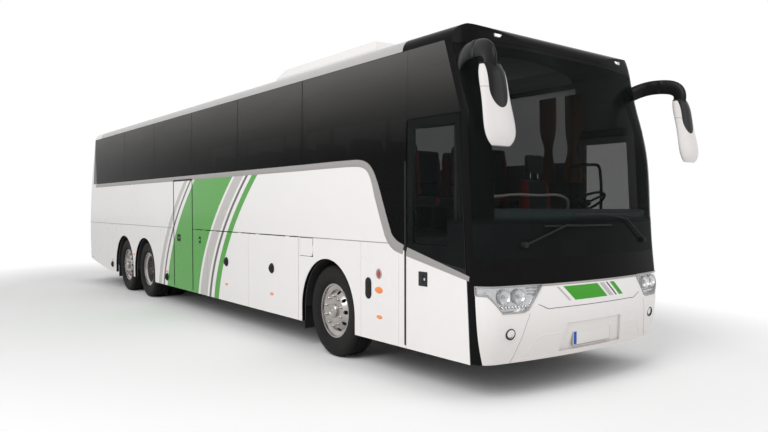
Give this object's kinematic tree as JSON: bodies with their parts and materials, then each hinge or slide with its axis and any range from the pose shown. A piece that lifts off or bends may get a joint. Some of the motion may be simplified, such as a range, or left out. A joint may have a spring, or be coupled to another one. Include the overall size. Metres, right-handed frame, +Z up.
{
  "type": "three-axle touring coach bus",
  "caption": "Touring coach bus with a glazed saloon above a luggage hold, steered front wheels, twin drive wheels, a tag axle, swinging doors and lifting flaps.",
  "frame": {"origin": "on the ground under the middle of the box that holds body and mirrors", "axes": "+X forward, +Y to the vehicle's left, +Z up"},
  "size_m": [14.2249, 3.0442, 3.5679],
  "materials": {
    "white_paint": "gloss coach paint",
    "grey_cove": "gloss coach paint",
    "black_gloss": "gloss",
    "tinted_glass": "dark tinted, bonded",
    "clear_glass": "lightly tinted",
    "lamp_lens": "clear moulded lens",
    "lamp_red": "moulded lens",
    "black_rubber": "matt",
    "tyre_rubber": "matt, worn tread",
    "polished_alloy": "polished forged wheel",
    "dark_steel": "satin chassis paint",
    "cast_grey": "rough cast",
    "dark_trim": "grained",
    "floor_cover": "ribbed floor cover",
    "seat_cloth": "woven cloth with red sides"
  },
  "bodies": {
    "coach": {"body_side_left": "white_paint", "body_side_right": "white_paint", "roof": "grey_cove", "front_cap": "black_gloss", "rear_body": "white_paint", "front_frame": "black_gloss", "front_bumper": "white_paint", "windscreen": "clear_glass", "side_glass_left": "tinted_glass", "side_glass_right": "tinted_glass", "rear_window": "tinted_glass", "headlamps": "lamp_lens", "tail_lamps": "lamp_red", "roof_unit": "white_paint", "deck": "floor_cover", "underframe": "dark_steel", "front_floor": "floor_cover", "wheel_housings": "dark_trim", "dashboard": "dark_trim", "passenger_seats": "seat_cloth", "driver_seat": "seat_cloth", "wipers": "black_rubber", "engine": "cast_grey", "mud_flaps": "black_rubber", "front_axle": "cast_grey", "rear_axles": "cast_grey", "mirror_left": "white_paint", "mirror_right": "white_paint"},
    "knuckle_left": {"knuckle_left": "cast_grey"},
    "wheel_front_left": {"tyre_front_left": "tyre_rubber", "rim_front_left": "polished_alloy"},
    "knuckle_right": {"knuckle_right": "cast_grey"},
    "wheel_front_right": {"tyre_front_right": "tyre_rubber", "rim_front_right": "polished_alloy"},
    "wheel_drive_left": {"tyre_drive_left": "tyre_rubber", "rim_drive_left": "polished_alloy"},
    "wheel_drive_right": {"tyre_drive_right": "tyre_rubber", "rim_drive_right": "polished_alloy"},
    "wheel_tag_left": {"tyre_tag_left": "tyre_rubber", "rim_tag_left": "polished_alloy"},
    "wheel_tag_right": {"tyre_tag_right": "tyre_rubber", "rim_tag_right": "polished_alloy"},
    "steering_wheel": {"steering_wheel": "dark_trim"},
    "front_door_arm": {"front_door_arm": "dark_steel"},
    "front_door": {"front_door": "white_paint", "front_door_glass": "clear_glass"},
    "mid_door_arm": {"mid_door_arm": "dark_steel"},
    "mid_door": {"mid_door": "white_paint"},
    "flap_right_small": {"flap_right_small": "white_paint"},
    "flap_right_rear": {"flap_right_rear": "white_paint"},
    "flap_right_front": {"flap_right_front": "white_paint"},
    "flap_left_rear": {"flap_left_rear": "white_paint"},
    "flap_left_mid": {"flap_left_mid": "white_paint"},
    "flap_left_front": {"flap_left_front": "white_paint"},
    "fuel_flap": {"fuel_flap": "white_paint"},
    "engine_lid": {"engine_lid": "white_paint"}
  },
  "joints": [
    {"name": "kingpin_left", "type": "hinge", "parent": "coach", "child": "knuckle_left", "pos_m": [4.145, 0.985, 0.41], "axis": [0, 0, 1], "range_deg": [-42, 42]},
    {"name": "spin_front_left", "type": "hinge", "parent": "knuckle_left", "child": "wheel_front_left", "pos_m": [4.145, 1.0775, 0.515], "axis": [0, 1, 0], "continuous": true},
    {"name": "kingpin_right", "type": "hinge", "parent": "coach", "child": "knuckle_right", "pos_m": [4.145, -0.985, 0.41], "axis": [0, 0, 1], "range_deg": [-42, 42]},
    {"name": "spin_front_right", "type": "hinge", "parent": "knuckle_right", "child": "wheel_front_right", "pos_m": [4.145, -1.0775, 0.515], "axis": [0, 1, 0], "continuous": true},
    {"name": "spin_drive_left", "type": "hinge", "parent": "coach", "child": "wheel_drive_left", "pos_m": [-2.755, 1.0775, 0.515], "axis": [0, 1, 0], "continuous": true},
    {"name": "spin_drive_right", "type": "hinge", "parent": "coach", "child": "wheel_drive_right", "pos_m": [-2.755, -1.0775, 0.515], "axis": [0, 1, 0], "continuous": true},
    {"name": "spin_tag_left", "type": "hinge", "parent": "coach", "child": "wheel_tag_left", "pos_m": [-4.105, 1.0775, 0.515], "axis": [0, 1, 0], "continuous": true},
    {"name": "spin_tag_right", "type": "hinge", "parent": "coach", "child": "wheel_tag_right", "pos_m": [-4.105, -1.0775, 0.515], "axis": [0, 1, 0], "continuous": true},
    {"name": "steering_wheel_turn", "type": "hinge", "parent": "coach", "child": "steering_wheel", "pos_m": [6.26, 0.62, 1.735], "axis": [-0.5, 0, 0.866], "range_deg": [-630, 630]},
    {"name": "front_door_swing", "type": "hinge", "parent": "coach", "child": "front_door_arm", "pos_m": [6.25522, -1.15, 1.4], "axis": [0, 0, 1], "range_deg": [0, 118]},
    {"name": "front_door_leaf", "type": "hinge", "parent": "front_door_arm", "child": "front_door", "pos_m": [5.82522, -1.18, 1.4], "axis": [0, 0, 1], "range_deg": [-118, 0]},
    {"name": "mid_door_swing", "type": "hinge", "parent": "coach", "child": "mid_door_arm", "pos_m": [-0.895, -1.15, 1.2], "axis": [0, 0, -1], "range_deg": [0, 118]},
    {"name": "mid_door_leaf", "type": "hinge", "parent": "mid_door_arm", "child": "mid_door", "pos_m": [-0.465, -1.18, 1.2], "axis": [0, 0, -1], "range_deg": [-118, 0]},
    {"name": "flap_right_small_lift", "type": "hinge", "parent": "coach", "child": "flap_right_small", "pos_m": [0.1245, -1.27, 1.327], "axis": [-1, 0, 0], "range_deg": [0, 85]},
    {"name": "flap_right_rear_lift", "type": "hinge", "parent": "coach", "child": "flap_right_rear", "pos_m": [1.211, -1.27, 1.327], "axis": [-1, 0, 0], "range_deg": [0, 85]},
    {"name": "flap_right_front_lift", "type": "hinge", "parent": "coach", "child": "flap_right_front", "pos_m": [2.6975, -1.27, 1.327], "axis": [-1, 0, 0], "range_deg": [0, 85]},
    {"name": "flap_left_rear_lift", "type": "hinge", "parent": "coach", "child": "flap_left_rear", "pos_m": [-0.3015, 1.27, 1.327], "axis": [1, 0, 0], "range_deg": [0, 85]},
    {"name": "flap_left_mid_lift", "type": "hinge", "parent": "coach", "child": "flap_left_mid", "pos_m": [1.211, 1.27, 1.327], "axis": [1, 0, 0], "range_deg": [0, 85]},
    {"name": "flap_left_front_lift", "type": "hinge", "parent": "coach", "child": "flap_left_front", "pos_m": [2.6975, 1.27, 1.327], "axis": [1, 0, 0], "range_deg": [0, 85]},
    {"name": "fuel_flap_swing", "type": "hinge", "parent": "coach", "child": "fuel_flap", "pos_m": [3.782, -1.27, 1.2], "axis": [0, 0, 1], "range_deg": [0, 95]},
    {"name": "engine_lid_lift", "type": "hinge", "parent": "coach", "child": "engine_lid", "pos_m": [-7.03036, 0, 1.774], "axis": [0, 1, 0], "range_deg": [0, 80]}
  ],
  "couplings": [
    {"joint": "kingpin_right", "follows": "kingpin_left", "ratio": 1},
    {"joint": "steering_wheel_turn", "follows": "kingpin_left", "ratio": 15},
    {"joint": "front_door_leaf", "follows": "front_door_swing", "ratio": -1},
    {"joint": "mid_door_leaf", "follows": "mid_door_swing", "ratio": -1}
  ]
}
